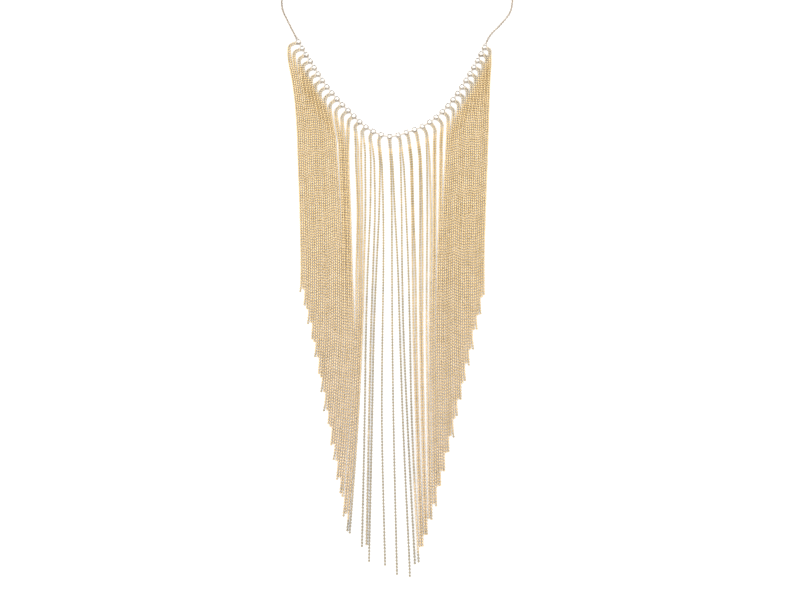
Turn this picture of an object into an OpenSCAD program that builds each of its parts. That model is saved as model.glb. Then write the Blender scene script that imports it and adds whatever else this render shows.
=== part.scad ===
// Rhinestone necklace with a fringe of ball chain, laid flat as one loop.
// Millimetres. X runs across the necklace, Y towards the back of the neck, and Z up from
// the surface that it lies on. The origin is under the middle of its outline.
// Tables give places on the flat, measured from a datum in the middle of the fringe.

/* [Stones] */
// Distance from one stone's centre to the next, along the row
stone_pitch = 5.26; // [5.1:0.01:5.3]
// Width of a stone at its girdle
stone_d = 2.5; // [2.3:0.1:2.6]
// Height of a stone from its point to its table
stone_h = 1.45; // [1.3:0.05:1.5]

/* [Cups] */
// Wall and floor thickness of a cup
cup_wall = 0.25; // [0.2:0.05:0.3]
// Height of a cup's wall below the claws
cup_h = 1.35; // [1.2:0.05:1.4]
// Thickness of a claw
claw_d = 0.36; // [0.3:0.02:0.4]
// Width of the bar that joins two cups
bar_w = 0.6; // [0.5:0.05:0.65]
// Thickness of that bar
bar_t = 0.3; // [0.25:0.05:0.3]

/* [Fringe] */
// How far the middle strands reach below their stone
longest_drop = 250; // [200:1:260]
// How much shorter each pair is than the pair before it, from the middle outwards
drop_step = 5.1; // [4:0.1:6]
// Width of the balls of the ball chain
ball_d = 1.2; // [1:0.05:1.2]
// How far outside their stones the outer pairs on the left come down
out_left = 4.4; // [4.2:0.1:4.6]
// The same on the right
out_right = 3.5; // [3.4:0.1:3.7]
// Unevenness of the strand ends
end_wobble = 0.8; // [0:0.1:1]

/* [Neck chain] */
// Width of the links of the neck chain
link_w = 1.4; // [1.2:0.1:1.5]
// Half width of the arch that the neck chain makes behind the neck
arch_w = 73.5; // [73:0.1:74]
// Height of that arch
arch_h = 57; // [50:1:65]

/* [Clasp] */
// Length of the clasp's plate
clasp_l = 8; // [6:0.5:10]
// Width of the clasp's plate
clasp_w = 3.2; // [3:0.1:4]
// Wire of the rings at the ends of the stone row and of the clasp
ring_wire = 0.4; // [0.3:0.05:0.4]

/* [Hidden] */
$fn = 24;
// Stones on each side of the middle one
side_stones = 17;
// Pairs of strands that a node of the fringe holds, from the middle outwards
fringe_groups = [[1, 2], [3, 5], [6, 8], [9, 11], [12, 14], [15, 17]];
// Space left between pieces that don't move
gap = 0.1;

// The line of the necklace across its front. Columns: x, y
front_line = [
    [-75.4, 198], [-74.6, 192.5], [-70, 181.5], [-63.6, 168.4], [-55.7, 154.3], [-44.7, 136.1],
    [-31, 119.3], [-15.5, 105.2], [-6.3, 102.2], [3.9, 105], [13.8, 109.2], [22, 115.3],
    [32, 126.9], [40.2, 140.2], [47.8, 154.3], [52.3, 163.6], [56.2, 172.3], [64, 181.5],
    [70.2, 191], [71.6, 198]
];
// The packed strands on the left, in two blocks. Columns: y, then x of the first and last strand
// of the outer block, and of the inner block
left_block = [
    [165, -69.2, -44, -40, -34], [130, -64.4, -42.3, -38.6, -32.4], [110, -62.2, -39.6, -37.3, -31.4],
    [90, -60.8, -38, -36.2, -30.8], [55, -58.4, -35.5, -34.1, -29.1], [20, -56.5, -33.9, -32.8, -27.6],
    [-20, -56.1, -33.2, -32, -26], [-60, -57.6, -34.6, -33.4, -27.3], [-120, -61.2, -38.4, -37.2, -31.2]
];
// The packed strands on the right, in one block
right_block = [
    [160, 56.6, 37.5], [130, 54.5, 32.2], [110, 53.3, 28.6], [90, 52.1, 27.4], [55, 49.8, 25.4],
    [20, 47.9, 23.8], [-20, 47.2, 22.6], [-60, 47.4, 22.4], [-120, 46.8, 22.3]
];
// Stones at the inner end of each block, and at the outer end of the left's inner block
left_inner_from = 7;
left_inner_to = 5;
right_to = 7;
// Heights that the next table's last six columns belong to
loose_y = [90, 55, 20, -20, -60, -145];
// The loose strands in the middle. Columns: stone, strand (0 outer, 1 inner), then x at each height
loose_strands = [
    [-4, 0, -26.6, -24.9, -24.9, -24.7, -26.0, -31.4],
    [-4, 1, -25.1, -23.7, -23.4, -23.5, -24.8, -30.2],
    [-3, 0, -23.2, -22.2, -22.1, -22.3, -23.6, -28.7],
    [-3, 1, -20.8, -20.2, -20.6, -21.2, -22.4, -27.2],
    [-2, 0, -17.5, -17.4, -18.4, -19.0, -19.1, -19.8],
    [-2, 1, -15.4, -14.7, -15.4, -16.3, -16.7, -17.4],
    [-1, 0, -12.0, -12.2, -13.4, -14.6, -15.0, -16.0],
    [-1, 1, -10.9, -9.8, -9.5, -9.8, -9.9, -7.6],
    [0, 1, -5.8, -4.9, -4.6, -4.3, -3.7, -1.6],
    [0, 0, -4.6, -3.0, -1.3, -0.1, 1.2, 5.0],
    [1, 1, 0.2, 0.9, 1.2, 2.0, 3.6, 7.8],
    [1, 0, 2.0, 3.5, 4.7, 5.5, 6.1, 9.8],
    [2, 1, 6.2, 6.9, 7.2, 7.6, 8.5, 10.9],
    [2, 0, 7.3, 7.9, 8.8, 9.1, 9.6, 12.1],
    [3, 1, 11.5, 11.7, 11.3, 11.3, 11.7, 13.2],
    [3, 0, 12.6, 13.1, 12.9, 12.5, 12.8, 14.3],
    [4, 1, 16.0, 15.9, 15.3, 14.8, 14.9, 15.5],
    [4, 0, 17.6, 17.9, 17.4, 16.6, 16.2, 16.7],
    [5, 1, 20.1, 19.6, 18.9, 17.8, 17.6, 17.9],
    [5, 0, 21.2, 20.7, 20.0, 19.0, 18.8, 19.1],
    [6, 1, 24.0, 23.0, 21.6, 20.3, 20.0, 20.3],
    [6, 0, 25.1, 24.1, 22.7, 21.5, 21.2, 21.5]
];
// Heights where the solids of the strands have a ring, and the fewest millimetres to an end
ring_y = [155, 135, 115, 95, 75, 50, 25, -5, -35, -65, -95, -125];
ring_clear = 4;
// Height in which a strand drifts from its bend to its place, in the middle and in a block
settle_loose = 16;
settle_block = 22;
settle_power = 1.5;
// The last pairs on the left swing outwards by a step each, and come back within a height
swing_step = 0.8;
swing_from = 15;
swing_back = 40;
// Turn that makes the strand ends uneven, from one strand to the next
wobble_turn = 97;

// Cup and stone levels
cup_r = stone_d / 2 + cup_wall;
bar_z = cup_wall + gap;
slot_w = bar_w + 2 * gap;
head_more = 0.25;
head_d = slot_w + head_more;
head_r = 0.72;
point_z = 0.7;
girdle_t = 0.1;
crown_h = 0.4;
girdle_z = point_z + stone_h - crown_h - girdle_t;
table_z = point_z + stone_h;
table_share = 0.6;
claw_r = stone_d / 2 + gap + claw_d / 2;
claw_top = table_z - gap;
claw_tip_more = 0.14;
claw_tip_d = claw_d + claw_tip_more;
claw_tip_in = 0.17;
// Solder tab beside each cup, which holds the first ball of both strands
tab_z = 0.25;
tab_t = 2 * (ball_d / 2 - tab_z);
tab_l = 0.5;
tab_balls = 1.75;
tab_w = tab_balls * ball_d;
tab_neck_w = 0.55;
tab_reach = cup_r + gap + tab_l / 2;
// Room between that crosspiece and the strands' solids, whose ends are turned a little
root_gap = 0.2;
root_reach = tab_reach + tab_l / 2 + root_gap;
// Direction in which a pair leaves: its turn against the row's slope, and the largest turn
exit_gain = 1.15;
exit_max = 75;
bend_step = 30;
// How far outside the middle stone a pair comes down, what each further stone adds, and the
// largest radius of a bend
out_middle = 1;
out_step = 0.45;
bend_most = 8;
// Distance between the two strands of a pair where they bend, its limits farther down, and the
// height in which it changes
pair_space = 1.1;
pair_least = 1;
pair_most = 1.35;
pair_settle = 15;
// Half width and half height of a strand's solid
strand_share = 0.31;
strand_hw = strand_share * ball_d;
strand_hh = ball_d / 2;
// Length by which a cut runs past what it cuts
past = 1;
// Rings
ring_r = 0.8;
ring_gap = 0.35;
ring_z = 0.6;
chain_z = link_w / 2;
clasp_t = link_w;
chain_rings = 38;
line_step = 1 / 8;
arch_step = 5;

// A smooth line through hand-set points, its tangents weighted by the spans beside them
function span_len(p, i) = norm(p[i + 1] - p[i]);
function slope_in(p, i) = (p[i + 1] - p[i]) / span_len(p, i);
function tangent(p, i) =
    i == 0 ? slope_in(p, 0)
    : i == len(p) - 1 ? slope_in(p, i - 1)
    : (slope_in(p, i) * span_len(p, i - 1) + slope_in(p, i - 1) * span_len(p, i))
        / (span_len(p, i) + span_len(p, i - 1));
function on_span(p, i, t, t0, t1) =
    p[i] * (2 * t ^ 3 - 3 * t ^ 2 + 1)
    + t0 * span_len(p, i) * (t ^ 3 - 2 * t ^ 2 + t)
    + p[i + 1] * (3 * t ^ 2 - 2 * t ^ 3)
    + t1 * span_len(p, i) * (t ^ 3 - t ^ 2);
function smooth_line(p) = [
    for (i = [0:len(p) - 2])
        for (t = [0:line_step:1 - line_step / 2])
            on_span(p, i, t, tangent(p, i), tangent(p, i + 1)),
    p[len(p) - 1]
];

// The whole loop, from the clasp down the left side, round the front and back up
arch_mid = [(front_line[0][0] + front_line[len(front_line) - 1][0]) / 2, front_line[0][1]];
function arch_at(a) = arch_mid + [arch_w * cos(a), arch_h * sin(a)];
loop_line = concat(
    [for (a = [90:arch_step:180 - arch_step]) arch_at(a)],
    smooth_line(front_line),
    [for (a = [arch_step:arch_step:90]) arch_at(a)]
);
loop_s = [
    for (i = 0, s = 0; i < len(loop_line);
        i = i + 1, s = i < len(loop_line) ? s + norm(loop_line[i] - loop_line[i - 1]) : s) s
];
loop_len = loop_s[len(loop_s) - 1];
loop_x = [for (i = [0:len(loop_line) - 1]) [loop_s[i], loop_line[i][0]]];
loop_y = [for (i = [0:len(loop_line) - 1]) [loop_s[i], loop_line[i][1]]];
function spot(s) = [lookup(s, loop_x), lookup(s, loop_y)];
function heading(s) = let (d = spot(s + 1) - spot(s - 1)) d / norm(d);

// Stones: 0 is the middle one at the lowest point, minus to the left and plus to the right
low_y = min([for (p = loop_line) p[1]]);
mid_s = [for (i = [0:len(loop_line) - 1]) if (loop_line[i][1] == low_y) loop_s[i]][0];
function stone_s(j) = mid_s + j * stone_pitch;
function stone_at(j) = spot(stone_s(j));
function turn_at(j) = let (h = heading(stone_s(j))) atan2(h[1], h[0]);
function side_of(j) = j < 0 ? -1 : 1;
function steepness(j) = max(0, side_of(j) * turn_at(j));

// Strands leave straight down in the middle, and sideways where the row is steep
function exit_turn(j) = j == 0 ? 0 : min(exit_max, exit_gain * steepness(j));
function exit_way(j) = [side_of(j) * sin(exit_turn(j)), -cos(exit_turn(j))];
function across_way(j) = [side_of(j) * cos(exit_turn(j)), sin(exit_turn(j))];
function swing_of(j) = swing_step * max(0, -j - swing_from);
function bend_r(j) =
    let (
        e = exit_turn(j),
        out = min(j < 0 ? out_left : out_right, out_middle + out_step * abs(j))
    )
    e == 0 ? 0 : min(bend_most, (out - root_reach * sin(e)) / (1 - cos(e)));
function hub_at(j, reach) = stone_at(j) + reach * exit_way(j) - bend_r(j) * across_way(j);
function land_at(j) = hub_at(j, root_reach + swing_of(j)) + [side_of(j) * bend_r(j), 0];

// Lines that the strands settle on: packed lanes at the sides, loose ones in the middle
function column(rows, c) = [for (p = smooth_line([for (r = rows) [r[c], r[0]]])) [p[1], p[0]]];
blocks = [
    [-side_stones, -left_inner_from - 1, column(left_block, 1), column(left_block, 2)],
    [-left_inner_from, -left_inner_to, column(left_block, 3), column(left_block, 4)],
    [side_stones, right_to, column(right_block, 1), column(right_block, 2)]
];
function holds(b, j) = j >= min(b[0], b[1]) && j <= max(b[0], b[1]);
function blocks_of(j) = [for (b = blocks) if (holds(b, j)) b];
function mix(a, b, t) = a + (b - a) * t;
function packed_x(b, j, y) =
    let (lane = 2 * abs(b[0] - j) + 0.5, last = 2 * abs(b[0] - b[1]) + 1)
    mix(lookup(y, b[2]), lookup(y, b[3]), lane / last);
function loose_line(j, k) =
    let (row = [for (r = loose_strands) if (r[0] == j && r[1] == k) r][0])
    [for (p = smooth_line([for (i = [0:len(loose_y) - 1]) [row[i + 2], loose_y[i]]])) [p[1], p[0]]];
function ease(t) = let (u = min(1, max(0, t))) 1 - (1 - u) ^ settle_power;
function end_y(j, k) =
    stone_at(j)[1] - longest_drop + drop_step * abs(j)
    + end_wobble * sin(wobble_turn * (2 * j + k));

// Points of strand k of stone j: its bend, then its run
function bend_steps(j) = ceil(exit_turn(j) / bend_step);
function bend_point(j, k, a, reach) =
    hub_at(j, reach) + (bend_r(j) + (0.5 - k) * pair_space) * [side_of(j) * cos(a), sin(a)];
function bend_points(j, k) = [
    if (swing_of(j) > 0) bend_point(j, k, exit_turn(j), root_reach),
    for (i = [0:bend_steps(j)])
        let (a = bend_steps(j) == 0 ? 0 : exit_turn(j) * (1 - i / bend_steps(j)))
        bend_point(j, k, a, root_reach + swing_of(j))
];

// Middle of a packed pair at a height, its even width there, and the place of one strand
function pair_x(b, j, y) =
    let (land = land_at(j), drop = max(0, land[1] - y), swing = swing_of(j))
    mix(land[0] + swing, packed_x(b, j, y), ease(drop / settle_block))
        - swing * (1 - ease(drop / swing_back));
function even_width(b, j, y) =
    let (spans = [for (n = [j - 1, j + 1]) if (holds(b, n)) abs(pair_x(b, n, y) - pair_x(b, j, y)) / 2])
    min(pair_most, max(pair_least, len(spans) == 1 ? spans[0] : (spans[0] + spans[1]) / 2));
function packed_strand_x(b, j, k, y) =
    let (settled = ease((land_at(j)[1] - y) / pair_settle))
    pair_x(b, j, y)
        + side_of(j) * (0.5 - k) * mix(pair_space, even_width(b, j, y), settled);
function run_x(j, k, from, y) =
    let (found = blocks_of(j))
    len(found) > 0 ? packed_strand_x(found[0], j, k, y)
    : mix(from[0], lookup(y, loose_line(j, k)), ease((from[1] - y) / settle_loose));
function strand_points(j, k) =
    let (
        bend = bend_points(j, k),
        start = bend[len(bend) - 1],
        low = end_y(j, k) - ball_d / 2,
        stops = [for (y = ring_y) if (y < start[1] - ring_clear && y > low + ring_clear) y]
    )
    concat(bend, [for (y = concat(stops, low)) [run_x(j, k, start, y), y]]);

// Outline of everything on the flat, which sets the origin under its middle
all_ends = [for (j = [-side_stones:side_stones]) for (k = [0, 1]) end_y(j, k) - ball_d / 2];
half_link = link_w / 2;
min_x = min([for (p = loop_line) p[0]]) - half_link;
max_x = max([for (p = loop_line) p[0]]) + half_link;
max_y = max([for (p = loop_line) p[1]]) + clasp_w / 2;
middle = [(min_x + max_x) / 2, (min(all_ends) + max_y) / 2];

// A closed tube of the outline "ring" swept along points on the flat, at height z
function flat_way(p, i) =
    let (d = p[min(i + 1, len(p) - 1)] - p[max(i - 1, 0)]) d / norm(d);
module swept(p, ring, z) {
    n = len(ring);
    points = [
        for (i = [0:len(p) - 1])
            let (w = flat_way(p, i))
            for (r = ring) [p[i][0] + w[1] * r[0], p[i][1] - w[0] * r[0], z + r[1]]
    ];
    last = n * (len(p) - 1);
    sides = [
        for (i = [0:len(p) - 2])
            for (k = [0:n - 1])
                let (a = i * n + k, b = i * n + (k + 1) % n)
                each [[a, a + n, b + n], [a, b + n, b]]
    ];
    ends = [[for (k = [0:n - 1]) k], [for (k = [n - 1:-1:0]) last + k]];
    polyhedron(points = points, faces = concat(sides, ends), convexity = 4);
}
strand_ring = [for (a = [90:-60:-210]) [strand_hw * cos(a) / cos(30), strand_hh * sin(a)]];
chain_ring = [for (a = [90:-45:-225]) [half_link * cos(a), half_link * sin(a)]];

module on_stone(j) {
    translate([stone_at(j)[0], stone_at(j)[1], 0]) rotate(turn_at(j)) children();
}

// Round cut stone: an octagon table, a faceted crown, a thin girdle and a point below
function circle_points(r, n, z, a0) =
    [for (i = [0:n - 1]) [r * cos(a0 + i * 360 / n), r * sin(a0 + i * 360 / n), z]];
module cut_stone() {
    r = stone_d / 2;
    table_r = r * table_share;
    points = concat(
        circle_points(table_r, 8, table_z, 0),
        circle_points(r, 16, girdle_z + girdle_t, 0),
        circle_points(r, 16, girdle_z, 0),
        [[0, 0, point_z]]
    );
    table = [[7, 6, 5, 4, 3, 2, 1, 0]];
    star = [for (i = [0:7]) [i, (i + 1) % 8, 8 + 2 * i + 1]];
    crown = [
        for (i = [0:7])
            each [[i, 8 + 2 * i + 1, 8 + 2 * i], [i, 8 + 2 * i, 8 + (2 * i + 15) % 16]]
    ];
    girdle = [
        for (i = [0:15])
            let (next = (i + 1) % 16)
            each [[8 + i, 8 + next, 24 + next], [8 + i, 24 + next, 24 + i]]
    ];
    pavilion = [for (i = [0:15]) [24 + i, 24 + (i + 1) % 16, 40]];
    polyhedron(points = points, faces = concat(table, star, crown, girdle, pavilion), convexity = 2);
}
module stone(j) color("#f4f3ef") on_stone(j) cut_stone();

// Direction of the bar that enters cup j on one side
function bar_turn(j, side) =
    abs(j + side) > side_stones ? turn_at(j) + (side < 0 ? 180 : 0)
    : let (d = stone_at(j + side) - stone_at(j)) atan2(d[1], d[0]);

// Round cup with four claws, and a slot on either side for the bars
module cup_shell(j) {
    difference() {
        union() {
            difference() {
                cylinder(r = cup_r, h = cup_h);
                translate([0, 0, cup_wall]) cylinder(r = cup_r - cup_wall, h = cup_h);
            }
            for (a = [45:90:315]) rotate(a) {
                translate([claw_r, 0, cup_wall]) cylinder(d = claw_d, h = claw_top - cup_wall);
                translate([claw_r - claw_tip_in, 0, claw_top]) sphere(d = claw_tip_d);
            }
        }
        for (side = [-1, 1]) rotate(bar_turn(j, side) - turn_at(j))
            translate([0, -slot_w / 2, cup_wall]) cube([cup_r + past, slot_w, bar_t + 2 * gap]);
    }
}

// Neck and crosspiece beside a cup, to which its two strands are soldered
module solder_tab(j) {
    neck_from = cup_r - cup_wall / 2;
    way = exit_way(j);
    translate([stone_at(j)[0], stone_at(j)[1], tab_z]) rotate(atan2(way[1], way[0])) {
        translate([neck_from, -tab_neck_w / 2, 0]) cube([tab_reach - neck_from, tab_neck_w, tab_t]);
        translate([tab_reach - tab_l / 2, -tab_w / 2, 0]) cube([tab_l, tab_w, tab_t]);
    }
}
module cups() color("#d9bd84") {
    for (j = [-side_stones:side_stones]) {
        on_stone(j) cup_shell(j);
        solder_tab(j);
    }
}

// Flat bar from inside one cup to inside the next, with a head at each end
module bar_between(a, b) {
    d = b - a;
    translate([a[0], a[1], bar_z]) rotate(atan2(d[1], d[0])) {
        translate([head_r, 0, 0]) cylinder(d = head_d, h = bar_t);
        translate([norm(d) - head_r, 0, 0]) cylinder(d = head_d, h = bar_t);
        translate([head_r, -bar_w / 2, 0]) cube([norm(d) - 2 * head_r, bar_w, bar_t]);
    }
}
module bars() color("#c9a86a") {
    for (j = [-side_stones:side_stones - 1]) bar_between(stone_at(j), stone_at(j + 1));
}

module wire_ring() rotate_extrude() translate([ring_r, 0]) circle(d = ring_wire);

// Bar and ring at an end of the stone row, where the neck chain hangs
ring_out = cup_r + ring_gap + ring_r + ring_wire / 2;
module end_ring(side) color("#c9a86a") {
    on_stone(side * side_stones) rotate(side < 0 ? 180 : 0) {
        translate([head_r, 0, bar_z]) cylinder(d = head_d, h = bar_t);
        translate([head_r, -bar_w / 2, bar_z]) cube([ring_out - ring_r - head_r, bar_w, bar_t]);
        translate([ring_out, 0, ring_z]) wire_ring();
    }
}

// Pairs of strands from stone a to stone b
module strands(a, b) color("#e0bf7e") {
    for (j = [min(a, b):max(a, b)])
        for (k = [0, 1])
            swept(strand_points(j, k), strand_ring, ball_d / 2);
}

// The neck chain's outer form, from the end of the stone row to the clasp
chain_from = ring_out + ring_r + ring_wire / 2 + gap;
chain_to = clasp_l / 2 + 2 * ring_r + ring_wire + gap;
module neck_chain(side) color("#c39a63") {
    s_stone = stone_s(side * side_stones) + side * chain_from;
    s_clasp = side < 0 ? chain_to : loop_len - chain_to;
    swept([for (i = [0:chain_rings]) spot(mix(s_stone, s_clasp, i / chain_rings))], chain_ring, chain_z);
}

// Plain plate with a ring at each end
module clasp() color("#d0aa62") {
    translate([arch_at(90)[0], arch_at(90)[1], 0]) {
        straight = clasp_l - clasp_w;
        translate([-straight / 2, -clasp_w / 2, 0]) cube([straight, clasp_w, clasp_t]);
        for (side = [-1, 1]) {
            translate([side * straight / 2, 0, 0]) cylinder(d = clasp_w, h = clasp_t);
            translate([side * (clasp_l / 2 + ring_r), 0, chain_z]) wire_ring();
        }
    }
}

function number(n) = str(n < 10 ? "0" : "", n);
function stone_name(j) = str("stone_", number(j + side_stones + 1));
function group_name(side, g) = str("fringe_", side < 0 ? "left_" : "right_", g + 1);

// Puts the origin under the middle of the outline
module centred() translate([-middle[0], -middle[1], 0]) children();

centred() cups();
centred() bars();
centred() end_ring(-1);  // end_ring_left
centred() end_ring(1);  // end_ring_right
centred() neck_chain(-1);  // neck_chain_left
centred() neck_chain(1);  // neck_chain_right
centred() clasp();
centred() strands(0, 0);  // fringe_middle
for (side = [-1, 1], g = [0:len(fringe_groups) - 1])
    centred() strands(side * fringe_groups[g][0], side * fringe_groups[g][1]);
for (j = [-side_stones:side_stones])
    centred() stone(j);
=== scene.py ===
import math
import random

import bpy
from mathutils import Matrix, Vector


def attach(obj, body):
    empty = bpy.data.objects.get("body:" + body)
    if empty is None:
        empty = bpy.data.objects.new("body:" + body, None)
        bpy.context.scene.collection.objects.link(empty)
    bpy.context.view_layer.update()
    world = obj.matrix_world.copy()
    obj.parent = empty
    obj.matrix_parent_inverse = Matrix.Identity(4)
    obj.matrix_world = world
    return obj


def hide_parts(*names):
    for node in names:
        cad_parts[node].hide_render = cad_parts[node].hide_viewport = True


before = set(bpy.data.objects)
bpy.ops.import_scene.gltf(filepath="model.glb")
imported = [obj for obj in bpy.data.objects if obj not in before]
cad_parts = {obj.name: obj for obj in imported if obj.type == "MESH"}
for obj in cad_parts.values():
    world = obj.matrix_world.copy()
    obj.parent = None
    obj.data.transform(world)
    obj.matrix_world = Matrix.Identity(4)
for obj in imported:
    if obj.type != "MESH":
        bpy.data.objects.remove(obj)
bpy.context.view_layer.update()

scene = bpy.context.scene
millimetre = 0.001


# Camera: a moderate lens above the fringe, leaning so that the neck end is farther off
camera = {
    "lens": 35.0,
    "sensor": 36.0,
    "tilt": 16.4,
    "distance": 439.6,  # millimetres, from the point that it looks at
    "aim": (1.9, -54.1),
    "nearest": 10.0,  # what is closer to it isn't drawn
}


def addCamera():
    data = bpy.data.cameras.new("camera")
    data.lens = camera["lens"]
    data.sensor_width = camera["sensor"]
    data.clip_start = camera["nearest"] * millimetre
    viewer = bpy.data.objects.new("camera", data)
    scene.collection.objects.link(viewer)
    tilt = math.radians(camera["tilt"])
    away = Vector((0, -math.sin(tilt), math.cos(tilt))) * camera["distance"]
    viewer.location = (Vector((*camera["aim"], 0)) + away) * millimetre
    viewer.rotation_euler = (tilt, 0, 0)
    scene.camera = viewer
    print("camera placed")


addCamera()

# Necklace layout, in millimetres on the flat, measured from a datum inside the fringe. Turns are
# in degrees, and stones are numbered from the middle one, below zero on the left.
layout = {
    "datum": (-1.9, 54.1),  # the frame's origin, seen from the datum
    "sideStones": 17,  # on each side of the middle one
    "stonePitch": 5.26,
    "turnReach": 1.0,  # along the row, each way from a stone, to measure the row's turn there
    "strandWidth": 1.15,
    "longestDrop": 250.0,
    "dropStep": 5.1,  # each pair is shorter than the one nearer the middle by this
    "endWobble": 0.8,  # uneven ends, up and down from that rule
    "wobbleTurn": 97,  # from one strand to the next
    "archHalf": 73.5,  # the arch behind the neck, half an ellipse
    "archHeight": 57.0,
    "archStep": 5,
    "lineSteps": 8,  # parts between two points of a smooth line
    "rootReach": 2.3,  # from the middle of a cup to the start of its strands
    "outMiddle": 1.0,  # a pair runs down this far outwards of its stone,
    "outStep": 0.45,  # with this added for each stone from the middle,
    "outLeft": 4.4,  # no farther out than this on each side,
    "outRight": 3.5,
    "bendMost": 8.0,  # and in a bend of no more than this radius
    "bendSteps": 8,
    "exitGain": 1.15,  # at 1 a pair leaves its cup at a right angle to the row
    "exitMax": 75,  # from straight down
    "pairSpace": 1.2,  # between the two strands of a pair at their cup
    "pairLeast": 1.0,  # between them where they are packed,
    "pairMost": 1.35,
    "pairSettle": 15,  # and the height in which they come to that
    "swingStep": 0.8,  # the last pairs on the left swing outwards by a step each,
    "swingFrom": 15,  # past this many stones,
    "swingBack": 40,  # and come back within this height
    "settleLoose": 16,  # height in which a loose strand comes to its own line
    "settleBlock": 22,  # and a packed pair to its lane
    "settlePower": 1.5,
    "runStep": 4.0,  # between the points of a strand's line, at most
    "wander": 0.02,  # packed strands, from side to side
    "wanderLengths": (40.0, 90.0),
    "wanderFade": 30.0,
    "endSpread": 0.6,  # a packed outer strand stands off at its end by this,
    "endChance": (-0.6, 1.0),  # times a draw from this range, where one below zero counts as zero,
    "endLength": 7.0,  # over this height
    "endPower": 1.5,
    "seed": 5,
}

# The line of the necklace across its front: x, y
frontLine = [
    (-75.4, 198), (-74.6, 192.5), (-70, 181.5), (-63.6, 168.4), (-55.7, 154.3), (-44.7, 136.1),
    (-31, 119.3), (-15.5, 105.2), (-6.3, 102.2), (3.9, 105), (13.8, 109.2), (22, 115.3),
    (32, 126.9), (40.2, 140.2), (47.8, 154.3), (52.3, 163.6), (56.2, 172.3), (64, 181.5),
    (70.2, 191), (71.6, 198),
]
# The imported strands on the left, in two blocks: y, then x of each block's first and last strand
leftBlock = [
    (165, -69.2, -44, -40, -34), (130, -64.4, -42.3, -38.6, -32.4), (110, -62.2, -39.6, -37.3, -31.4),
    (90, -60.8, -38, -36.2, -30.8), (55, -58.4, -35.5, -34.1, -29.1), (20, -56.5, -33.9, -32.8, -27.6),
    (-20, -56.1, -33.2, -32, -26), (-60, -57.6, -34.6, -33.4, -27.3), (-120, -61.2, -38.4, -37.2, -31.2),
]
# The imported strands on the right, in one block
rightBlock = [
    (160, 56.6, 37.5), (130, 54.5, 32.2), (110, 53.3, 28.6), (90, 52.1, 27.4), (55, 49.8, 25.4),
    (20, 47.9, 23.8), (-20, 47.2, 22.6), (-60, 47.4, 22.4), (-120, 46.8, 22.3),
]
# The loose strands in the middle: (stone, strand) and its x at each of these heights
looseHeights = (90, 55, 20, -20, -60, -145)
looseStrands = {
    (-4, 0): (-26.6, -24.9, -24.9, -24.7, -26.0, -31.4),
    (-4, 1): (-25.1, -23.7, -23.4, -23.5, -24.8, -30.2),
    (-3, 0): (-23.2, -22.2, -22.1, -22.3, -23.6, -28.7),
    (-3, 1): (-20.8, -20.2, -20.6, -21.2, -22.4, -27.2),
    (-2, 0): (-17.5, -17.4, -18.4, -19.0, -19.1, -19.8),
    (-2, 1): (-15.4, -14.7, -15.4, -16.3, -16.7, -17.4),
    (-1, 0): (-12.0, -12.2, -13.4, -14.6, -15.0, -16.0),
    (-1, 1): (-10.9, -9.8, -9.5, -9.8, -9.9, -7.6),
    (0, 1): (-5.8, -4.9, -4.6, -4.3, -3.7, -1.6),
    (0, 0): (-4.6, -3.0, -1.3, -0.1, 1.2, 5.0),
    (1, 1): (0.2, 0.9, 1.2, 2.0, 3.6, 7.8),
    (1, 0): (2.0, 3.5, 4.7, 5.5, 6.1, 9.8),
    (2, 1): (6.2, 6.9, 7.2, 7.6, 8.5, 10.9),
    (2, 0): (7.3, 7.9, 8.8, 9.1, 9.6, 12.1),
    (3, 1): (11.5, 11.7, 11.3, 11.3, 11.7, 13.2),
    (3, 0): (12.6, 13.1, 12.9, 12.5, 12.8, 14.3),
    (4, 1): (16.0, 15.9, 15.3, 14.8, 14.9, 15.5),
    (4, 0): (17.6, 17.9, 17.4, 16.6, 16.2, 16.7),
    (5, 1): (20.1, 19.6, 18.9, 17.8, 17.6, 17.9),
    (5, 0): (21.2, 20.7, 20.0, 19.0, 18.8, 19.1),
    (6, 1): (24.0, 23.0, 21.6, 20.3, 20.0, 20.3),
    (6, 0): (25.1, 24.1, 22.7, 21.5, 21.2, 21.5),
}


def mix(a, b, t):
    return a + (b - a) * t


def clamp(t):
    return min(1.0, max(0.0, t))


# A smooth line through points, whose slope at each point blends the slopes on both sides
def slopeOf(points, i):
    d = math.dist(points[i], points[i + 1])
    return tuple((b - a) / d for a, b in zip(points[i], points[i + 1]))


def tangentAt(points, i):
    if i == 0:
        return slopeOf(points, 0)
    if i == len(points) - 1:
        return slopeOf(points, i - 1)
    before = math.dist(points[i - 1], points[i])
    after = math.dist(points[i], points[i + 1])
    return tuple((a * before + b * after) / (before + after)
                 for a, b in zip(slopeOf(points, i), slopeOf(points, i - 1)))


def smoothLine(points):
    line = []
    for i in range(len(points) - 1):
        d = math.dist(points[i], points[i + 1])
        leave, arrive = tangentAt(points, i), tangentAt(points, i + 1)
        for n in range(layout["lineSteps"]):
            t = n / layout["lineSteps"]
            parts = (2*t**3 - 3*t**2 + 1, (t**3 - 2*t**2 + t) * d, 3*t**2 - 2*t**3, (t**3 - t**2) * d)
            line.append(tuple(sum(w * v for w, v in zip(parts, values))
                              for values in zip(points[i], leave, points[i + 1], arrive)))
    line.append(tuple(float(c) for c in points[-1]))
    return line


# Value at a key, from rows of a key and a value, in a straight line between two rows
def lookUp(rows, key):
    if key <= rows[0][0]:
        return rows[0][1]
    for (a, u), (b, v) in zip(rows, rows[1:]):
        if key <= b:
            return mix(u, v, (key - a) / (b - a)) if b > a else v
    return rows[-1][1]


# Distance along a line from its start to each of its points
def runsAlong(line):
    runs = [0.0]
    for here, there in zip(line, line[1:]):
        runs.append(runs[-1] + math.dist(here, there))
    return runs


# The whole loop, from the clasp down the left side, round the front and back up
archMiddle = ((frontLine[0][0] + frontLine[-1][0]) / 2, frontLine[0][1])


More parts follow.
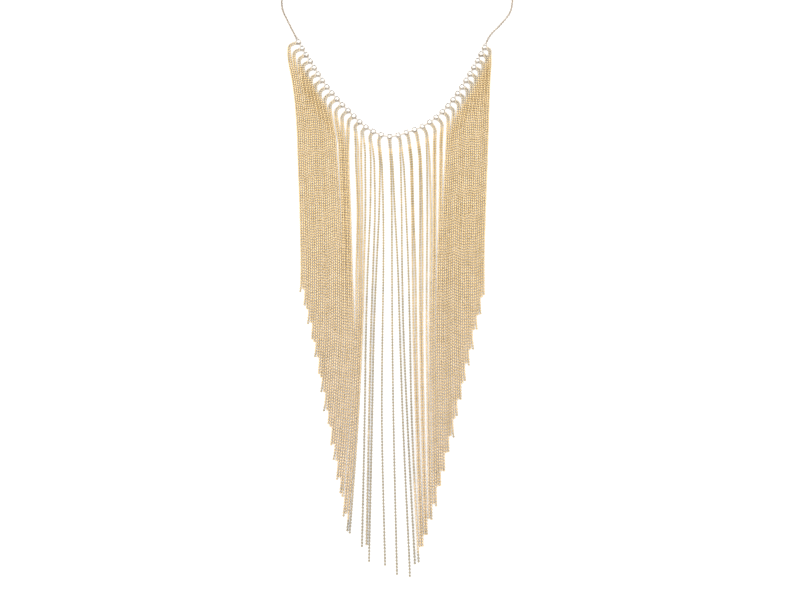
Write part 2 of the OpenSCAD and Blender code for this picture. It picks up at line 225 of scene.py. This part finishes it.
def archAt(angle):
    a = math.radians(angle)
    return (archMiddle[0] + layout["archHalf"] * math.cos(a),
            archMiddle[1] + layout["archHeight"] * math.sin(a))


loopLine = [archAt(a) for a in range(90, 180, layout["archStep"])]
loopLine += smoothLine(frontLine)
loopLine += [archAt(a) for a in range(layout["archStep"], 91, layout["archStep"])]
loopRun = runsAlong(loopLine)
loopX = [(s, p[0]) for s, p in zip(loopRun, loopLine)]
loopY = [(s, p[1]) for s, p in zip(loopRun, loopLine)]


def spot(s):
    return (lookUp(loopX, s), lookUp(loopY, s))


lowestPoint = min(loopLine, key=lambda p: p[1])
middleRun = loopRun[loopLine.index(lowestPoint)]
stoneNumbers = range(-layout["sideStones"], layout["sideStones"] + 1)


def stoneRun(j):
    return middleRun + j * layout["stonePitch"]


def rowTurn(j):
    reach = layout["turnReach"]
    (ax, ay), (bx, by) = spot(stoneRun(j) - reach), spot(stoneRun(j) + reach)
    return math.degrees(math.atan2(by - ay, bx - ax))


def sideOf(j):
    return -1 if j < 0 else 1


def exitTurn(j):
    if j == 0:
        return 0.0
    return min(layout["exitMax"], layout["exitGain"] * max(0.0, sideOf(j) * rowTurn(j)))


def swingOf(j):
    return layout["swingStep"] * max(0, -j - layout["swingFrom"])


stoneSpots = {j: spot(stoneRun(j)) for j in stoneNumbers}
exitTurns = {j: math.radians(exitTurn(j)) for j in stoneNumbers}


# Radius of the bend in which the pair of stone j turns down from its cup
def bendRadius(j):
    turn = exitTurns[j]
    if turn == 0:
        return 0.0
    most = layout["outLeft"] if j < 0 else layout["outRight"]
    out = min(most, layout["outMiddle"] + layout["outStep"] * abs(j))
    radius = (out - layout["rootReach"] * math.sin(turn)) / (1 - math.cos(turn))
    return min(layout["bendMost"], radius)


# A point of that bend: "aside" is the strand's distance from the middle of its pair
def bendPoint(j, angle, reach, aside):
    turn, side, radius = exitTurns[j], sideOf(j), bendRadius(j)
    x = stoneSpots[j][0] + reach * side * math.sin(turn)
    y = stoneSpots[j][1] - reach * math.cos(turn)
    x += side * ((radius + aside) * math.cos(angle) - radius * math.cos(turn))
    y += (radius + aside) * math.sin(angle) - radius * math.sin(turn)
    return (x, y)


# The bend of strand k of stone j (0 outer, 1 inner)
def bendPoints(j, k):
    aside, turn, steps = (0.5 - k) * layout["pairSpace"], exitTurns[j], layout["bendSteps"]
    if turn == 0:
        return [bendPoint(j, 0.0, layout["rootReach"], aside)]
    reach = layout["rootReach"] + swingOf(j)
    bend = [bendPoint(j, turn, layout["rootReach"], aside)] if swingOf(j) else []
    return bend + [bendPoint(j, turn * (1 - i / steps), reach, aside) for i in range(steps + 1)]


# Lines that the strands settle on: packed lanes at the sides, loose ones in the middle
def column(rows, c):
    return [(y, x) for x, y in reversed(smoothLine([(r[c], r[0]) for r in rows]))]


blocks = [
    {"first": -17, "last": -8, "lines": (column(leftBlock, 1), column(leftBlock, 2))},
    {"first": -7, "last": -5, "lines": (column(leftBlock, 3), column(leftBlock, 4))},
    {"first": 17, "last": 7, "lines": (column(rightBlock, 1), column(rightBlock, 2))},
]
looseLines = {
    key: [(y, x) for x, y in reversed(smoothLine(list(zip(xs, looseHeights))))]
    for key, xs in looseStrands.items()
}


def blockHolds(block, j):
    return min(block["first"], block["last"]) <= j <= max(block["first"], block["last"])


def ease(t):
    return 1 - (1 - clamp(t)) ** layout["settlePower"]


def endHeight(j, k):
    wobble = layout["endWobble"] * math.sin(math.radians(layout["wobbleTurn"] * (2 * j + k)))
    return stoneSpots[j][1] - layout["longestDrop"] + layout["dropStep"] * abs(j) + wobble


landings = {j: bendPoint(j, 0.0, layout["rootReach"] + swingOf(j), 0.0) for j in stoneNumbers}


# Middle of a packed pair at a height, and the room between its two strands there
def pairX(block, j, y):
    lane = (2 * abs(block["first"] - j) + 0.5) / (2 * abs(block["first"] - block["last"]) + 1)
    goal = mix(lookUp(block["lines"][0], y), lookUp(block["lines"][1], y), lane)
    drop = max(0.0, landings[j][1] - y)
    drift = mix(landings[j][0] + swingOf(j), goal, ease(drop / layout["settleBlock"]))
    return drift - swingOf(j) * (1 - ease(drop / layout["swingBack"]))


def evenWidth(block, j, y):
    spans = [abs(pairX(block, n, y) - pairX(block, j, y)) / 2
             for n in (j - 1, j + 1) if blockHolds(block, n)]
    return min(layout["pairMost"], max(layout["pairLeast"], sum(spans) / len(spans)))


def runX(j, k, y):
    startX, startY = bendPoint(j, 0.0, layout["rootReach"] + swingOf(j), (0.5 - k) * layout["pairSpace"])
    for block in blocks:
        if blockHolds(block, j):
            settled = ease((startY - y) / layout["pairSettle"])
            width = mix(layout["pairSpace"], evenWidth(block, j, y), settled)
            return pairX(block, j, y) + sideOf(j) * (0.5 - k) * width
    return mix(startX, lookUp(looseLines[(j, k)], y), ease((startY - y) / layout["settleLoose"]))


# Packed strands wander a little from side to side, and some outer ones stand off at their ends
def strandLine(j, k):
    bend = bendPoints(j, k)
    startY, low = bend[-1][1], endHeight(j, k)
    count = math.ceil((startY - low) / layout["runStep"])
    heights = [mix(startY, low, n / count) for n in range(1, count + 1)]
    chance = random.Random(layout["seed"] + 10 * j + k)
    length, phase = chance.uniform(*layout["wanderLengths"]), chance.uniform(0, 2 * math.pi)
    spread = 0.0
    if k == 0:
        spread = sideOf(j) * layout["endSpread"] * max(0.0, chance.uniform(*layout["endChance"]))
    packed = any(blockHolds(block, j) for block in blocks)

    def aside(y):
        if not packed:
            return 0.0
        sway = math.sin(2 * math.pi * y / length + phase) * clamp((startY - y) / layout["wanderFade"])
        atEnd = clamp(1 - (y - low) / layout["endLength"]) ** layout["endPower"]
        return layout["wander"] * sway + spread * atEnd

    return bend + [(runX(j, k, y) + aside(y), y) for y in heights]


strandLines = {(j, k): strandLine(j, k) for j in stoneNumbers for k in (0, 1)}
print("strands laid out:", len(strandLines))

# Where strands crowd, every second one lies in the groove between its neighbours. A neighbour
# counts in full when it is near and not at all when it is far, and a strand with more neighbours
# than the most doesn't lie alone.
crowding = {"reach": 12.0, "rootLength": 4.0, "near": 1.2, "far": 3.4, "most": 1.7, "fade": 0.8}


# Distance from a point to the stretch of a line near its height
def distanceTo(point, line):
    best = math.inf
    for a, b in zip(line, line[1:]):
        if min(abs(a[1] - point[1]), abs(b[1] - point[1])) > crowding["reach"]:
            continue
        ux, uy = b[0] - a[0], b[1] - a[1]
        t = clamp(((point[0] - a[0]) * ux + (point[1] - a[1]) * uy) / (ux * ux + uy * uy))
        best = min(best, math.hypot(point[0] - a[0] - t * ux, point[1] - a[1] - t * uy))
    return best


# A strand's line with two more values at each point: its lift, and how alone it lies
def liftedLine(j, k):
    line = strandLines[(j, k)]
    others = {(n, m): strandLines[(n, m)] for n in (j - 1, j, j + 1) for m in (0, 1)
              if n in stoneNumbers and (n, m) != (j, k)}
    beside = [(j, 0), (1 if j == 0 else j - sideOf(j), 0)]
    lifted = []
    for (x, y), run in zip(line, runsAlong(line)):
        rooms = {key: distanceTo((x, y), other) for key, other in others.items()}
        lift = 0.0
        if k == 1:
            room = min(rooms[key] for key in beside)
            lift = math.sqrt(max(0.0, layout["strandWidth"] ** 2 - room ** 2))
            lift *= clamp(run / crowding["rootLength"])
        span = crowding["far"] - crowding["near"]
        crowd = sum(clamp((crowding["far"] - room) / span) for room in rooms.values())
        lifted.append((x, y, lift, clamp((crowding["most"] - crowd) / crowding["fade"])))
    return lifted


# A point of the layout as one of the frame, in metres
def toFrame(x, y, z):
    originX, originY = layout["datum"]
    return ((x - originX) * millimetre, (y - originY) * millimetre, z * millimetre)


# Small helpers for node trees and pieces
def newTree(name, inputs):
    tree = bpy.data.node_groups.new(name, "GeometryNodeTree")
    tree.interface.new_socket("Geometry", in_out="INPUT", socket_type="NodeSocketGeometry")
    for label, kind in inputs:
        tree.interface.new_socket(label, in_out="INPUT", socket_type=kind)
    tree.interface.new_socket("Geometry", in_out="OUTPUT", socket_type="NodeSocketGeometry")
    return tree


def addNode(tree, kind, links=None, **settings):
    node = tree.nodes.new(kind)
    for key, value in settings.items():
        setattr(node, key, value)
    for socket, source in (links or {}).items():
        if isinstance(source, bpy.types.NodeSocket):
            tree.links.new(source, node.inputs[socket])
        else:
            node.inputs[socket].default_value = source
    return node


def calc(tree, operation, a, b):
    return addNode(tree, "ShaderNodeMath", {0: a, 1: b}, operation=operation).outputs[0]


# Ends a tree in one smooth mesh of its metal
def finishTree(tree, geometry, metal):
    real = addNode(tree, "GeometryNodeRealizeInstances", {"Geometry": geometry})
    smooth = addNode(tree, "GeometryNodeSetShadeSmooth", {"Geometry": real.outputs[0]})
    finish = addNode(tree, "GeometryNodeSetMaterial", {"Geometry": smooth.outputs[0], "Material": metal})
    addNode(tree, "NodeGroupOutput", {"Geometry": finish.outputs[0]})


def polylineObject(name, lines, tones=None):
    mesh = bpy.data.meshes.new(name)
    points, edges = [], []
    for line in lines:
        edges += [(len(points) + i, len(points) + i + 1) for i in range(len(line) - 1)]
        points += line
    mesh.from_pydata(points, edges, [])
    if tones:
        tone = mesh.attributes.new("strandTone", "FLOAT", "POINT")
        tone.data.foreach_set("value", [t for row in tones for t in row])
    piece = bpy.data.objects.new(name, mesh)
    scene.collection.objects.link(piece)
    return piece


# Runs a node tree on the piece, and keeps the result as its plain mesh
def applyTree(piece, tree, values):
    modifier = piece.modifiers.new(tree.name, "NODES")
    modifier.node_group = tree
    for item in tree.interface.items_tree:
        if item.item_type == "SOCKET" and item.in_out == "INPUT" and item.name in values:
            modifier[item.identifier] = values[item.name]
    bpy.context.view_layer.update()
    evaluated = piece.evaluated_get(bpy.context.evaluated_depsgraph_get())
    mesh = bpy.data.meshes.new_from_object(evaluated)
    piece.modifiers.remove(modifier)
    piece.data = mesh
    return piece


# Materials
def newMaterial(name):
    material = bpy.data.materials.new(name)
    material.use_nodes = True
    tree = material.node_tree
    return material, tree, tree.nodes["Principled BSDF"]


# What all the platings share. The scales of the noise are per metre, and the grain's depth is in
# millimetres.
metalSurface = {
    "patches": {"Scale": 160.0, "Detail": 3.0}, "darkAt": 0.3, "lightAt": 0.7,
    "rubbing": {"Scale": 2600.0, "Detail": 2.0}, "rubSpan": (0.3, 0.7), "roughSpan": (-0.06, 0.08),
    "grainStrength": 0.08, "grainDepth": 0.02,
}
platings = {
    "ballChain": {"light": (0.75, 0.59, 0.345, 1), "dark": (0.61, 0.455, 0.225, 1),
                  # The first colour on this line is painted shade, for strands that lie alone and low
                  # down; the second is a painted highlight near the cups
                  "paintedShade": (0.34, 0.285, 0.17, 1), "paintedHighlight": (0.54, 0.46, 0.34, 1), "rough": 0.3,
                  # painted shade: the low tint turns the colour cooler towards the bottom
                  "lowShadeTint": (0.98, 1.0, 1.2, 1), "tintSpan": (-5.0, -135.0)},
    "cup": {"light": (0.64, 0.58, 0.50, 1), "dark": (0.49, 0.43, 0.36, 1), "rough": 0.22},
    "neckChain": {"light": (0.46, 0.37, 0.27, 1), "dark": (0.31, 0.235, 0.155, 1), "rough": 0.28},
    "clasp": {"light": (0.64, 0.51, 0.36, 1), "dark": (0.50, 0.38, 0.25, 1), "rough": 0.25},
}


# Plated metal: a patchy tone, fine rubbing in its gloss, and a small grain in its surface. Where given, a
# colour for painted shade sits at the dark end of the tone and one for a painted highlight at the light
# end. The tint, painted shade that turns the colour cooler, comes in over a span of the length, in
# millimetres.
def platedMetal(name, look, toneAttribute=None):
    material, tree, shader = newMaterial(name)
    place = addNode(tree, "ShaderNodeTexCoord").outputs["Object"]
    amount, rubbing = [
        addNode(tree, "ShaderNodeTexNoise", {"Vector": place, **metalSurface[noise]}).outputs["Fac"]
        for noise in ("patches", "rubbing")]
    if toneAttribute:
        tone = addNode(tree, "ShaderNodeAttribute", attribute_name=toneAttribute).outputs["Fac"]
        amount = calc(tree, "MULTIPLY", calc(tree, "ADD", amount, tone), 0.5)
    ramp = addNode(tree, "ShaderNodeValToRGB", {"Fac": amount})
    ramp.color_ramp.elements[0].position = metalSurface["darkAt"]
    ramp.color_ramp.elements[0].color = look["dark"]
    ramp.color_ramp.elements[1].position = metalSurface["lightAt"]
    ramp.color_ramp.elements[1].color = look["light"]
    # painted shade at the dark end of the tone, and a painted highlight at the light end
    for key, position in (("paintedShade", 0.0), ("paintedHighlight", 1.0)):
        if key in look:
            ramp.color_ramp.elements.new(position).color = look[key]
    color = ramp.outputs["Color"]
    # painted shade: a cooler tint towards the bottom
    if "lowShadeTint" in look:
        y = addNode(tree, "ShaderNodeSeparateXYZ", {"Vector": place}).outputs["Y"]
        high, low = look["tintSpan"]
        fade = addNode(tree, "ShaderNodeMapRange", {
            "Value": y, "From Min": high * millimetre, "From Max": low * millimetre}).outputs["Result"]
        tint = addNode(tree, "ShaderNodeMix", {"Factor": fade, "A": color, "B": look["lowShadeTint"]},
                       data_type="RGBA", blend_type="MULTIPLY")
        color = tint.outputs["Result"]
    tree.links.new(color, shader.inputs["Base Color"])
    (rubLow, rubHigh), (smoother, rougher) = metalSurface["rubSpan"], metalSurface["roughSpan"]
    gloss = addNode(tree, "ShaderNodeMapRange", {
        "Value": rubbing, "From Min": rubLow, "From Max": rubHigh,
        "To Min": look["rough"] + smoother, "To Max": look["rough"] + rougher})
    tree.links.new(gloss.outputs["Result"], shader.inputs["Roughness"])
    grain = addNode(tree, "ShaderNodeBump", {
        "Strength": metalSurface["grainStrength"], "Distance": metalSurface["grainDepth"] * millimetre,
        "Height": rubbing})
    tree.links.new(grain.outputs["Normal"], shader.inputs["Normal"])
    shader.inputs["Metallic"].default_value = 1.0
    return material


# Clear cut stone with a silvered back: glass above the girdle, a height in millimetres, and mirror
# below it
crystalLook = {
    "girdle": 1.7, "body": (1.0, 0.99, 0.98, 1), "foil": (0.79, 0.78, 0.76, 1),
    "cloudScale": 900.0, "polish": (0.01, 0.06), "refraction": 1.55,
}


def crystalMaterial():
    material, tree, shader = newMaterial("crystal")
    place = addNode(tree, "ShaderNodeTexCoord").outputs["Object"]
    height = addNode(tree, "ShaderNodeSeparateXYZ", {"Vector": place}).outputs["Z"]
    above = calc(tree, "GREATER_THAN", height, crystalLook["girdle"] * millimetre)
    below = calc(tree, "SUBTRACT", 1.0, above)
    cloud = addNode(tree, "ShaderNodeTexNoise", {
        "Vector": place, "Scale": crystalLook["cloudScale"]}).outputs["Fac"]
    tint = addNode(tree, "ShaderNodeMix", {"Factor": above}, data_type="RGBA")
    tint.inputs["A"].default_value = crystalLook["foil"]
    tint.inputs["B"].default_value = crystalLook["body"]
    tree.links.new(tint.outputs["Result"], shader.inputs["Base Color"])
    tree.links.new(above, shader.inputs["Transmission Weight"])
    tree.links.new(below, shader.inputs["Metallic"])
    smoothest, roughest = crystalLook["polish"]
    polish = addNode(tree, "ShaderNodeMapRange", {"Value": cloud, "To Min": smoothest, "To Max": roughest})
    tree.links.new(polish.outputs["Result"], shader.inputs["Roughness"])
    shader.inputs["IOR"].default_value = crystalLook["refraction"]
    return material


ballMetal = platedMetal("ballChainPlating", platings["ballChain"], "strandTone")
cupMetal = platedMetal("cupPlating", platings["cup"])
chainMetal = platedMetal("neckChainPlating", platings["neckChain"])
claspMetal = platedMetal("claspPlating", platings["clasp"])
crystal = crystalMaterial()
print("materials mixed")

# Ball chain: small hollow balls on short wires. From the row height downwards the balls of
# neighbouring strands lie nearly level, in rows that rise and fall in slow waves across the
# fringe, and above it each strand evens out from its cup. A wave is its size and its length
# in strands.
ballChain = {
    "ballWidth": 1.2, "spacing": 1.6, "wireWidth": 0.42, "segments": 10, "rings": 5, "wireSides": 5,
    "rowHeight": 100.0, "leastAbove": 6.0, "rowWaves": ((0.9, 17.0), (0.5, 7.3)),
    "spacingWaves": ((0.004, 23.0), (0.002, 9.1)), "offsetMost": 0.15, "seed": 11,
    # The tones for strands that lie alone and those low down are painted shade
    "tones": (0.35, 0.65), "toneSteps": 11, "toneStride": (7, 3), "aloneShadeTone": -0.2,
    # painted highlight: the root's washed-out tone near the cups
    "rootHighlightTone": 1.4, "rootLength": 5.0,
    "lowShadeTone": -0.25, "lowAloneShadeTone": -0.5, "lowFrom": 60.0, "lowTo": -120.0,
}


# Packed strands differ in tone, by a stride for each stone and one for the inner strand. All carry a
# painted highlight, a washed-out tone, for the root's length from their cups, then less so for as long
# again, and painted shade, a darker tone, low down and where they lie alone.
def strandTones(j, k, stops):
    steps, (byStone, byStrand) = ballChain["toneSteps"], ballChain["toneStride"]
    packed = mix(*ballChain["tones"], (byStone * j + byStrand * k) % steps / (steps - 1))
    low, high = ballChain["lowTo"], ballChain["lowFrom"]
    tones = []
    for i, (_, y, _, alone) in enumerate(stops):
        # painted highlight near the cups, fading out over a second root's length
        atRoot = clamp(2 - i * ballChain["spacing"] / ballChain["rootLength"])
        howLow = clamp((high - y) / (high - low))
        packedTone = packed + ballChain["lowShadeTone"] * howLow
        # painted shade: darker low down and where a strand lies alone
        aloneShadeTone = ballChain["aloneShadeTone"] + ballChain["lowAloneShadeTone"] * howLow
        tones.append(mix(mix(packedTone, aloneShadeTone, alone), ballChain["rootHighlightTone"], atRoot))
    return tones


# Sum of some waves at a strand's place across the fringe. A wave's length sets its phase too.
def waveAt(waves, place):
    return sum(size * math.sin(2 * math.pi * place / length + length) for size, length in waves)


# The points of a strand's line at which its balls sit
def ballStops(line, offset, spacing):
    runs = runsAlong(line)
    heights = [(-p[1], run) for p, run in zip(line, runs)]
    atRow = lookUp(heights, -ballChain["rowHeight"]) + offset
    if atRow < ballChain["leastAbove"]:
        atRow = 0.0
    upper = round(atRow / ballChain["spacing"])
    lower = int((runs[-1] - layout["strandWidth"] / 2 - atRow) / spacing)
    stops = [atRow * n / upper for n in range(upper)]
    stops += [atRow + n * spacing for n in range(lower + 1)]
    columns = [list(zip(runs, values)) for values in zip(*line)]
    return [tuple(lookUp(rows, stop) for rows in columns) for stop in stops]


def ballChainTree():
    tree = newTree("ballChain", [
        ("Ball Width", "NodeSocketFloat"), ("Spacing", "NodeSocketFloat"),
        ("Wire Width", "NodeSocketFloat"), ("Segments", "NodeSocketInt"),
        ("Rings", "NodeSocketInt"), ("Wire Sides", "NodeSocketInt"),
        ("Metal", "NodeSocketMaterial")])
    given = addNode(tree, "NodeGroupInput").outputs
    ballRadius, wireRadius, halfSpacing = [
        calc(tree, "MULTIPLY", given[size], 0.5) for size in ("Ball Width", "Wire Width", "Spacing")]
    stops = addNode(tree, "GeometryNodeMeshToCurve", {"Mesh": given["Geometry"]}).outputs[0]
    tangent = addNode(tree, "GeometryNodeInputTangent").outputs[0]
    turn = addNode(tree, "FunctionNodeAlignRotationToVector", {"Vector": tangent}, axis="Z").outputs[0]
    ball = addNode(tree, "GeometryNodeMeshUVSphere", {
        "Segments": given["Segments"], "Rings": given["Rings"], "Radius": ballRadius})
    wire = addNode(tree, "GeometryNodeMeshCylinder", {
        "Vertices": given["Wire Sides"], "Radius": wireRadius, "Depth": given["Spacing"]})
    ahead = addNode(tree, "ShaderNodeCombineXYZ", {"Z": halfSpacing}).outputs[0]
    wireAhead = addNode(tree, "GeometryNodeTransform", {
        "Geometry": wire.outputs["Mesh"], "Translation": ahead})
    last = addNode(tree, "GeometryNodeCurveEndpointSelection", {"Start Size": 0, "End Size": 1})
    notLast = addNode(tree, "FunctionNodeBooleanMath", {0: last.outputs[0]}, operation="NOT")
    balls = addNode(tree, "GeometryNodeInstanceOnPoints", {
        "Points": stops, "Instance": ball.outputs["Mesh"], "Rotation": turn})
    wires = addNode(tree, "GeometryNodeInstanceOnPoints", {
        "Points": stops, "Instance": wireAhead.outputs[0], "Rotation": turn,
        "Selection": notLast.outputs[0]})
    joined = addNode(tree, "GeometryNodeJoinGeometry")
    tree.links.new(balls.outputs[0], joined.inputs[0])
    tree.links.new(wires.outputs[0], joined.inputs[0])
    finishTree(tree, joined.outputs[0], given["Metal"])
    return tree


# The fringe: one piece for each group of neighbouring pairs, as in the frame
fringeGroups = [(1, 2), (3, 5), (6, 8), (9, 11), (12, 14), (15, 17)]
fringePieces = {"fringe_middle": ("fringeMiddle", [0])}
for sign, side in ((-1, "Left"), (1, "Right")):
    for n, (first, last) in enumerate(fringeGroups, 1):
        numbers = [sign * j for j in range(first, last + 1)]
        fringePieces[f"fringe_{side.lower()}_{n}"] = (f"fringe{side}{n}", numbers)


def buildFringe():
    tree = ballChainTree()
    radius = ballChain["ballWidth"] / 2
    values = {
        "Ball Width": ballChain["ballWidth"] * millimetre,
        "Spacing": ballChain["spacing"] * millimetre,
        "Wire Width": ballChain["wireWidth"] * millimetre,
        "Segments": ballChain["segments"],
        "Rings": ballChain["rings"],
        "Wire Sides": ballChain["wireSides"],
        "Metal": ballMetal,
    }
    chance = random.Random(ballChain["seed"])
    for node, (name, numbers) in fringePieces.items():
        lines, tones = [], []
        for j in numbers:
            for k in (0, 1):
                place = 2 * j - k * sideOf(j)
                offset = waveAt(ballChain["rowWaves"], place)
                offset += chance.uniform(-1, 1) * ballChain["offsetMost"]
                spread = 1 + waveAt(ballChain["spacingWaves"], place)
                stops = ballStops(liftedLine(j, k), offset, ballChain["spacing"] * spread)
                lines.append([toFrame(x, y, radius + lift) for x, y, lift, _ in stops])
                tones.append(strandTones(j, k, stops))
        piece = applyTree(polylineObject(name, lines, tones), tree, values)
        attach(piece, "root")
        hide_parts(node)
        print("ball chain:", name, len(piece.data.polygons), "faces")


buildFringe()

# Neck chain: oval links, each turned a quarter against the one before it. All are rolled by some
# degrees more, and each by a chance turn either way, of up to the loose roll in radians.
neckChain = {
    "linkLength": 1.8, "linkWidth": 1.4, "wire": 0.34, "pitch": 1.08, "roll": 16.0,
    "looseRoll": 0.2, "seed": 4, "height": 0.7, "fromStone": 4.0, "fromClasp": 5.95,
    "around": 10, "wireSides": 5,
}


def neckChainTree():
    tree = newTree("neckChain", [
        ("Link Length", "NodeSocketFloat"), ("Link Width", "NodeSocketFloat"),
        ("Wire", "NodeSocketFloat"), ("Roll", "NodeSocketFloat"),
        ("Loose Roll", "NodeSocketFloat"), ("Seed", "NodeSocketInt"),
        ("Around", "NodeSocketInt"), ("Wire Sides", "NodeSocketInt"),
        ("Metal", "NodeSocketMaterial")])
    given = addNode(tree, "NodeGroupInput").outputs

    wire = given["Wire"]
    stops = addNode(tree, "GeometryNodeMeshToCurve", {"Mesh": given["Geometry"]}).outputs[0]
    halfLong, halfWide = [
        calc(tree, "MULTIPLY", calc(tree, "SUBTRACT", given[size], wire), 0.5)
        for size in ("Link Length", "Link Width")]
    oval = addNode(tree, "GeometryNodeCurvePrimitiveCircle", {
        "Resolution": given["Around"], "Radius": 1.0})
    stretch = addNode(tree, "ShaderNodeCombineXYZ", {"X": halfLong, "Y": halfWide, "Z": 1.0})
    shaped = addNode(tree, "GeometryNodeTransform", {
        "Geometry": oval.outputs["Curve"], "Scale": stretch.outputs[0]})
    profile = addNode(tree, "GeometryNodeCurvePrimitiveCircle", {
        "Resolution": given["Wire Sides"], "Radius": calc(tree, "MULTIPLY", wire, 0.5)})
    link = addNode(tree, "GeometryNodeCurveToMesh", {
        "Curve": shaped.outputs[0], "Profile Curve": profile.outputs["Curve"]})
    tangent = addNode(tree, "GeometryNodeInputTangent").outputs[0]
    along = addNode(tree, "FunctionNodeAlignRotationToVector", {"Vector": tangent},
                    axis="X", pivot_axis="Z").outputs[0]
    index = addNode(tree, "GeometryNodeInputIndex").outputs[0]
    odd = calc(tree, "MODULO", calc(tree, "ADD", index, 1.0), 2.0)
    quarter = calc(tree, "MULTIPLY", odd, math.pi / 2)
    jitter = addNode(tree, "FunctionNodeRandomValue", {
        "Min": calc(tree, "MULTIPLY", given["Loose Roll"], -1.0), "Max": given["Loose Roll"],
        "Seed": given["Seed"]}, data_type="FLOAT")
    loose = [s for s in jitter.outputs if s.enabled][0]
    roll = calc(tree, "ADD", calc(tree, "ADD", quarter, given["Roll"]), loose)
    spin = addNode(tree, "FunctionNodeAxisAngleToRotation", {"Axis": (1, 0, 0), "Angle": roll})
    turned = addNode(tree, "FunctionNodeRotateRotation", {
        "Rotation": along, "Rotate By": spin.outputs[0]}, rotation_space="LOCAL").outputs[0]
    links = addNode(tree, "GeometryNodeInstanceOnPoints", {
        "Points": stops, "Instance": link.outputs[0], "Rotation": turned})
    finishTree(tree, links.outputs[0], given["Metal"])
    return tree


def buildNeckChain():
    tree = neckChainTree()
    values = {
        "Link Length": neckChain["linkLength"] * millimetre,
        "Link Width": neckChain["linkWidth"] * millimetre,
        "Wire": neckChain["wire"] * millimetre,
        "Roll": math.radians(neckChain["roll"]),
        "Loose Roll": neckChain["looseRoll"],
        "Seed": neckChain["seed"],
        "Around": neckChain["around"],
        "Wire Sides": neckChain["wireSides"],
        "Metal": chainMetal,
    }
    last = layout["sideStones"]
    ends = {
        "left": (stoneRun(-last) - neckChain["fromStone"], neckChain["fromClasp"]),
        "right": (stoneRun(last) + neckChain["fromStone"], loopRun[-1] - neckChain["fromClasp"]),
    }
    for side, (atStone, atClasp) in ends.items():
        # An even number of spaces, so that the links at both ends are turned alike in their rings
        spaces = 2 * round(abs(atClasp - atStone) / neckChain["pitch"] / 2)
        line = [toFrame(*spot(mix(atStone, atClasp, i / spaces)), neckChain["height"])
                for i in range(spaces + 1)]
        name = "neckChain" + side.capitalize()
        piece = applyTree(polylineObject(name, [line]), tree, values)
        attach(piece, "root")
        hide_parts("neck_chain_" + side)
        print("neck chain:", name, spaces + 1, "links")


buildNeckChain()


# The frame's own solids keep their shape and get their finish
def finishSolids():
    finishes = {"cups": cupMetal, "bars": cupMetal, "end_ring_left": cupMetal,
                "end_ring_right": cupMetal, "clasp": claspMetal}
    for name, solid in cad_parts.items():
        material = crystal if name.startswith("stone_") else finishes.get(name)
        if material:
            solid.data.materials.clear()
            solid.data.materials.append(material)
    print("solids finished")


finishSolids()

# White surface, and a soft sky: bright all round, dimmer at the horizon, a little dimmer
# overhead, and brightest towards the key side. The floor's size is in metres, and its drop below
# the necklace in millimetres. A sky tone is its height, from the horizon at 0 to overhead at 1,
# and its brightness.
studio = {
    "floorSize": 6.0, "floorColor": (0.80, 0.80, 0.80, 1), "floorRough": 0.9, "floorDrop": 0.05,
    "keyWay": (-0.25, -0.6, 0.65), "keyFrom": -0.6, "keyTo": 0.9, "offKey": 0.5,
    "skyTones": ((0.0, 0.5), (0.2, 1.0), (0.7, 1.0), (0.96, 0.85)), "skyStrength": 2.3,
}


def buildStudio():
    half = studio["floorSize"] / 2
    mesh = bpy.data.meshes.new("floor")
    z = -studio["floorDrop"] * millimetre
    mesh.from_pydata([(-half, -half, z), (half, -half, z), (half, half, z), (-half, half, z)],
                     [], [(0, 1, 2, 3)])
    floor = bpy.data.objects.new("floor", mesh)
    scene.collection.objects.link(floor)
    material, _, shader = newMaterial("paper")
    shader.inputs["Base Color"].default_value = studio["floorColor"]
    shader.inputs["Roughness"].default_value = studio["floorRough"]
    shader.inputs["Specular IOR Level"].default_value = 0.0
    mesh.materials.append(material)

    world = bpy.data.worlds.new("sky")
    world.use_nodes = True
    scene.world = world
    tree = world.node_tree
    direction = addNode(tree, "ShaderNodeTexCoord").outputs["Generated"]
    height = addNode(tree, "ShaderNodeSeparateXYZ", {"Vector": direction}).outputs["Z"]
    toKey = addNode(tree, "ShaderNodeVectorMath", {
        0: direction, 1: Vector(studio["keyWay"]).normalized()}, operation="DOT_PRODUCT").outputs["Value"]
    key = addNode(tree, "ShaderNodeMapRange", {
        "Value": toKey, "From Min": studio["keyFrom"], "From Max": studio["keyTo"],
        "To Min": studio["offKey"]}, interpolation_type="SMOOTHSTEP").outputs["Result"]
    ramp = addNode(tree, "ShaderNodeValToRGB", {"Fac": height})
    ramp.color_ramp.interpolation = "EASE"
    stops = ramp.color_ramp.elements
    while len(stops) < len(studio["skyTones"]):
        stops.new(0.5)
    for stop, (place, tone) in zip(stops, studio["skyTones"]):
        stop.position = place
        stop.color = (tone, tone, tone, 1)
    strength = calc(tree, "MULTIPLY", key, studio["skyStrength"])
    background = tree.nodes["Background"]
    tree.links.new(ramp.outputs["Color"], background.inputs["Color"])
    tree.links.new(strength, background.inputs["Strength"])
    scene.view_settings.view_transform = "Standard"
    print("studio ready")


buildStudio()
